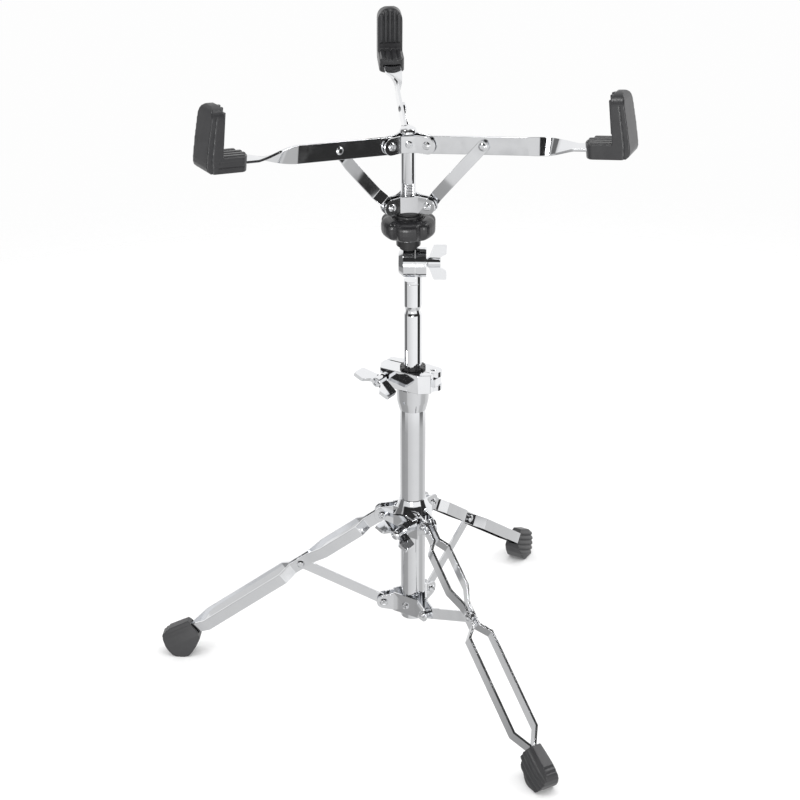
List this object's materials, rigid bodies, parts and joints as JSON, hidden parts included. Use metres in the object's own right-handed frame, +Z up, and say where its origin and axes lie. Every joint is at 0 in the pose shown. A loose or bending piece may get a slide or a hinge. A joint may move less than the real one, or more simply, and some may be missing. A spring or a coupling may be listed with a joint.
{
  "type": "snare drum stand",
  "caption": "Folding snare drum stand: double-braced tripod, sliding height tube, tilter and adjustable three-arm basket with rubber rests.",
  "frame": {"origin": "on the base tube's axis, at the height of the floor under the three feet", "axes": "+Z up along the base tube; +X to the right with the left leg along -X; +Y to the back, the basket leaning towards -Y"},
  "size_m": [0.4614, 0.474, 0.6483],
  "materials": {
    "tube_chrome": "bright chrome plate on steel tube",
    "cast_chrome": "bright chrome plate on castings",
    "strip_chrome": "chrome plate on pressed steel strip",
    "fastener_chrome": "chrome plate on rivets and screws",
    "foot_rubber": "matt moulded rubber",
    "rest_rubber": "satin moulded rubber",
    "knob_plastic": "satin moulded plastic",
    "black_nylon": "satin nylon"
  },
  "bodies": {
    "base": {"base_tube": "tube_chrome", "tube_ferrule": "tube_chrome", "clamp_body": "cast_chrome", "clamp_hinge_pin": "cast_chrome", "clamp_bolt": "cast_chrome", "lower_hub_plates": "strip_chrome", "lower_hub_rivets": "fastener_chrome", "lower_hub_screw": "fastener_chrome"},
    "clamp_jaw": {"clamp_jaw": "cast_chrome"},
    "clamp_wing_nut": {"clamp_wing_nut": "cast_chrome"},
    "height_bush": {"height_bush": "black_nylon"},
    "leg_hub": {"leg_hub_cap": "cast_chrome", "leg_hub_plates": "strip_chrome", "leg_hub_rivets": "fastener_chrome", "leg_hub_nut": "fastener_chrome"},
    "leg_hub_wing_bolt": {"leg_hub_wing_bolt": "cast_chrome"},
    "left_leg": {"left_leg_strip_a": "strip_chrome", "left_leg_strip_b": "strip_chrome", "left_leg_rivet": "fastener_chrome", "left_foot": "foot_rubber"},
    "left_leg_brace": {"left_leg_brace": "strip_chrome"},
    "front_leg": {"front_leg_strip_a": "strip_chrome", "front_leg_strip_b": "strip_chrome", "front_leg_rivet": "fastener_chrome", "front_foot": "foot_rubber"},
    "front_leg_brace": {"front_leg_brace": "strip_chrome"},
    "back_leg": {"back_leg_strip_a": "strip_chrome", "back_leg_strip_b": "strip_chrome", "back_leg_rivet": "fastener_chrome", "back_foot": "foot_rubber"},
    "back_leg_brace": {"back_leg_brace": "strip_chrome"},
    "upper_tube": {"upper_tube": "tube_chrome", "tilter_lower": "cast_chrome"},
    "tilter_wing_nut": {"tilter_wing_nut": "cast_chrome"},
    "basket_frame": {"tilter_upper": "cast_chrome", "tilter_bolt": "cast_chrome", "stem_collar": "black_nylon", "basket_shaft": "tube_chrome", "shaft_cap": "tube_chrome", "top_hub_plates": "strip_chrome", "top_hub_rivets": "fastener_chrome", "top_hub_screw": "fastener_chrome"},
    "sliding_hub": {"sliding_hub_plates": "strip_chrome", "sliding_hub_rivets": "fastener_chrome", "sliding_hub_washer": "black_nylon"},
    "basket_knob": {"basket_knob": "knob_plastic"},
    "left_arm": {"left_arm": "strip_chrome", "left_arm_rivet": "fastener_chrome", "left_rest": "rest_rubber"},
    "left_arm_brace": {"left_arm_brace": "strip_chrome"},
    "right_arm": {"right_arm": "strip_chrome", "right_arm_rivet": "fastener_chrome", "right_rest": "rest_rubber"},
    "right_arm_brace": {"right_arm_brace": "strip_chrome"},
    "back_arm": {"back_arm": "strip_chrome", "back_arm_rivet": "fastener_chrome", "back_rest": "rest_rubber"},
    "back_arm_brace": {"back_arm_brace": "strip_chrome"}
  },
  "joints": [
    {"name": "leg_hub_slide", "type": "slide", "parent": "base", "child": "leg_hub", "axis": [0, 0, 1], "range_m": [0, 0.091]},
    {"name": "leg_hub_wing_turn", "type": "hinge", "parent": "leg_hub", "child": "leg_hub_wing_bolt", "pos_m": [-0.01035, -0.01793, 0.1606], "axis": [-0.5, -0.866, 0], "range_deg": [0, 720]},
    {"name": "left_leg_fold", "type": "hinge", "parent": "leg_hub", "child": "left_leg", "pos_m": [-0.0308, 0, 0.1711], "axis": [0, -1, 0], "range_deg": [0, 41.44]},
    {"name": "left_leg_brace_fold", "type": "hinge", "parent": "base", "child": "left_leg_brace", "pos_m": [-0.03, 0, 0.068], "axis": [0, 1, 0], "range_deg": [0, 48.05]},
    {"name": "front_leg_fold", "type": "hinge", "parent": "leg_hub", "child": "front_leg", "pos_m": [0.0154, -0.02667, 0.1711], "axis": [0.866, 0.5, 0], "range_deg": [0, 41.44]},
    {"name": "front_leg_brace_fold", "type": "hinge", "parent": "base", "child": "front_leg_brace", "pos_m": [0.015, -0.02598, 0.068], "axis": [-0.866, -0.5, 0], "range_deg": [0, 48.05]},
    {"name": "back_leg_fold", "type": "hinge", "parent": "leg_hub", "child": "back_leg", "pos_m": [0.0154, 0.02667, 0.1711], "axis": [-0.866, 0.5, 0], "range_deg": [0, 41.44]},
    {"name": "back_leg_brace_fold", "type": "hinge", "parent": "base", "child": "back_leg_brace", "pos_m": [0.015, 0.02598, 0.068], "axis": [0.866, -0.5, 0], "range_deg": [0, 48.05]},
    {"name": "clamp_jaw_open", "type": "hinge", "parent": "base", "child": "clamp_jaw", "pos_m": [0.02032, -0.0048, 0.32125], "axis": [0, 0, 1], "range_deg": [0, 2]},
    {"name": "clamp_nut_turn", "type": "hinge", "parent": "base", "child": "clamp_wing_nut", "pos_m": [-0.02992, -0.00582, 0.32125], "axis": [-0.5, -0.866, 0], "range_deg": [0, 720]},
    {"name": "tube_swivel", "type": "hinge", "parent": "base", "child": "height_bush", "pos_m": [0, 0, 0.32125], "axis": [0, 0, 1], "continuous": true},
    {"name": "height_slide", "type": "slide", "parent": "height_bush", "child": "upper_tube", "axis": [0, 0, 1], "range_m": [-0.08, 0.1]},
    {"name": "tilter_turn", "type": "hinge", "parent": "upper_tube", "child": "basket_frame", "pos_m": [0, 0, 0.439], "axis": [1, 0, 0], "range_deg": [-80, 80]},
    {"name": "tilter_nut_turn", "type": "hinge", "parent": "upper_tube", "child": "tilter_wing_nut", "pos_m": [0.02, 0, 0.439], "axis": [1, 0, 0], "range_deg": [0, 720]},
    {"name": "knob_turn", "type": "hinge", "parent": "sliding_hub", "child": "basket_knob", "pos_m": [-0.004, -0.00355, 0.47583], "axis": [0, -0.0958, 0.9954], "range_deg": [0, 3854]},
    {"name": "sliding_hub_lift", "type": "slide", "parent": "basket_frame", "child": "sliding_hub", "axis": [0, -0.0958, 0.9954], "range_m": [0, 0.02677]},
    {"name": "left_arm_fold", "type": "hinge", "parent": "basket_frame", "child": "left_arm", "pos_m": [-0.02017, -0.02342, 0.55599], "axis": [-0.599, 0.797, 0.0767], "range_deg": [0, 60.8]},
    {"name": "left_arm_brace_fold", "type": "hinge", "parent": "sliding_hub", "child": "left_arm_brace", "pos_m": [-0.02057, -0.01815, 0.49813], "axis": [-0.599, 0.797, 0.0767], "range_deg": [0, 25.74]},
    {"name": "right_arm_fold", "type": "hinge", "parent": "basket_frame", "child": "right_arm", "pos_m": [0.01457, -0.0193, 0.55639], "axis": [-0.3939, -0.9149, -0.0881], "range_deg": [0, 60.8]},
    {"name": "right_arm_brace_fold", "type": "hinge", "parent": "sliding_hub", "child": "right_arm_brace", "pos_m": [0.01503, -0.01392, 0.49854], "axis": [-0.3939, -0.9149, -0.0881], "range_deg": [0, 25.74]},
    {"name": "back_arm_fold", "type": "hinge", "parent": "basket_frame", "child": "back_arm", "pos_m": [-0.00639, 0.00859, 0.55908], "axis": [0.993, 0.1179, 0.0113], "range_deg": [0, 60.8]},
    {"name": "back_arm_brace_fold", "type": "hinge", "parent": "sliding_hub", "child": "back_arm_brace", "pos_m": [-0.00645, 0.01465, 0.50129], "axis": [0.993, 0.1179, 0.0113], "range_deg": [0, 25.74]}
  ],
  "couplings": [
    {"joint": "left_leg_fold", "follows": "leg_hub_slide", "rad_per_m": 7.9488},
    {"joint": "left_leg_brace_fold", "follows": "leg_hub_slide", "rad_per_m": 9.215},
    {"joint": "front_leg_fold", "follows": "leg_hub_slide", "rad_per_m": 7.9488},
    {"joint": "front_leg_brace_fold", "follows": "leg_hub_slide", "rad_per_m": 9.215},
    {"joint": "back_leg_fold", "follows": "leg_hub_slide", "rad_per_m": 7.9488},
    {"joint": "back_leg_brace_fold", "follows": "leg_hub_slide", "rad_per_m": 9.215},
    {"joint": "sliding_hub_lift", "follows": "knob_turn", "m_per_rad": 0.00039789},
    {"joint": "left_arm_fold", "follows": "knob_turn", "ratio": 0.015776},
    {"joint": "left_arm_brace_fold", "follows": "knob_turn", "ratio": 0.0066789},
    {"joint": "right_arm_fold", "follows": "knob_turn", "ratio": 0.015776},
    {"joint": "right_arm_brace_fold", "follows": "knob_turn", "ratio": 0.0066789},
    {"joint": "back_arm_fold", "follows": "knob_turn", "ratio": 0.015776},
    {"joint": "back_arm_brace_fold", "follows": "knob_turn", "ratio": 0.0066789}
  ]
}
